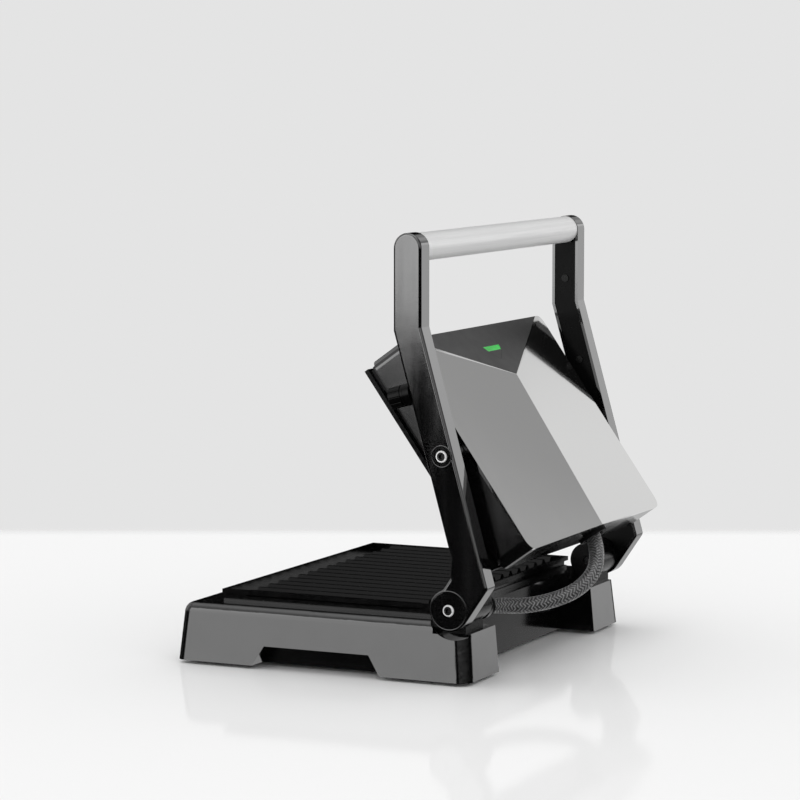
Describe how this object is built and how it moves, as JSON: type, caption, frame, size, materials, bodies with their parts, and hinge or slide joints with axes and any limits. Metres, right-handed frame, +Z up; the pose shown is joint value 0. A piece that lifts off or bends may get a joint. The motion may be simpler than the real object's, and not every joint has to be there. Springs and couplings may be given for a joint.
{
  "type": "panini press",
  "caption": "Countertop contact grill: ribbed lower plate in a black base, ribbed upper plate in a folded steel lid held between bent arms with a tube handle.",
  "frame": {"origin": "on the resting plane under the rubber feet, under the middle of the press's bounding box as it stands open", "axes": "+Z up; +Y from the front edge of the base to the hinges at the back; +X to the right-hand side seen from the front, which is the side with the knob and the lead"},
  "size_m": [0.3472, 0.3175, 0.3598],
  "materials": {
    "black_gloss": "high gloss",
    "black_satin": "fine grained satin",
    "steel_cover": "fine brushed across the lid",
    "handle_metal": "satin polished",
    "bright_ring": "polished",
    "screw_steel": "plain turned",
    "black_bolt": "black oxide",
    "plate_coating": "dark non-stick coating",
    "bezel_metal": "plain",
    "strap_steel": "plain rolled",
    "shield_steel": "plain sheet",
    "heater_sheath": "heat-stained tube",
    "rubber_black": "matt",
    "green_lens": "translucent green",
    "lamp_glass": "clear",
    "braid_grey": "woven grey braid",
    "ceramic_white": "plain",
    "bush_plastic": "plain"
  },
  "bodies": {
    "base": {"base_housing": "black_gloss", "base_bottom_cover": "black_satin", "bottom_cover_screws": "screw_steel", "rubber_feet": "rubber_black", "lower_plate_bezel": "bezel_metal", "lower_plate": "plate_coating", "lower_plate_studs": "screw_steel", "lower_heating_element": "heater_sheath", "lower_heat_shield": "shield_steel", "lower_thermostat": "screw_steel", "terminal_block": "ceramic_white", "mains_cord_gland": "rubber_black", "right_hinge_ear": "black_satin", "left_hinge_ear": "black_satin", "right_hinge_bolt": "black_bolt", "left_hinge_bolt": "black_bolt", "right_hinge_bush": "bush_plastic", "left_hinge_bush": "bush_plastic", "lead_outlet_collar": "rubber_black", "lid_lead_sleeve": "braid_grey"},
    "arm_frame": {"right_arm_shell": "black_gloss", "left_arm_shell": "black_gloss", "right_arm_strap": "strap_steel", "left_arm_strap": "strap_steel", "right_arm_inner_cover": "black_satin", "left_arm_inner_cover": "black_satin", "arm_cover_screws": "screw_steel", "handle_tube": "handle_metal", "handle_end_plugs": "black_satin", "handle_tie_rod": "screw_steel", "handle_screws": "screw_steel", "knob_collar": "black_satin", "right_hinge_washer": "bright_ring", "left_hinge_washer": "bright_ring", "right_lid_pivot_washer": "bright_ring", "left_lid_pivot_washer": "bright_ring"},
    "knob": {"height_knob": "black_satin", "height_knob_stud": "screw_steel"},
    "lid": {"lid_cover": "steel_cover", "lid_top_panel": "black_gloss", "lid_housing": "black_gloss", "upper_plate_bezel": "bezel_metal", "upper_plate": "plate_coating", "upper_plate_studs": "screw_steel", "upper_heating_element": "heater_sheath", "upper_heat_shield": "shield_steel", "upper_thermostat": "screw_steel", "indicator_window": "green_lens", "indicator_lamp": "lamp_glass", "right_lid_bracket": "black_satin", "left_lid_bracket": "black_satin", "right_lid_pivot_bolt": "black_bolt", "left_lid_pivot_bolt": "black_bolt", "lid_lead_gland": "rubber_black", "lid_housing_screws": "screw_steel"}
  },
  "joints": [
    {"name": "arm_hinge", "type": "hinge", "parent": "base", "child": "arm_frame", "pos_m": [0, 0.09125, 0.0622], "axis": [1, 0, 0], "range_deg": [0, 73.25], "deforming": ["lid_lead_sleeve"]},
    {"name": "lid_pivot", "type": "hinge", "parent": "arm_frame", "child": "lid", "pos_m": [0, 0.08505, 0.1845], "axis": [1, 0, 0], "range_deg": [-18.8, 0]},
    {"name": "knob_turn", "type": "hinge", "parent": "arm_frame", "child": "knob", "pos_m": [0.16425, 0.0683, 0.23615], "axis": [0, -0.9627, -0.2706], "range_deg": [0, 90]}
  ],
  "couplings": [
    {"joint": "lid_pivot", "follows": "arm_hinge", "ratio": -0.256}
  ]
}
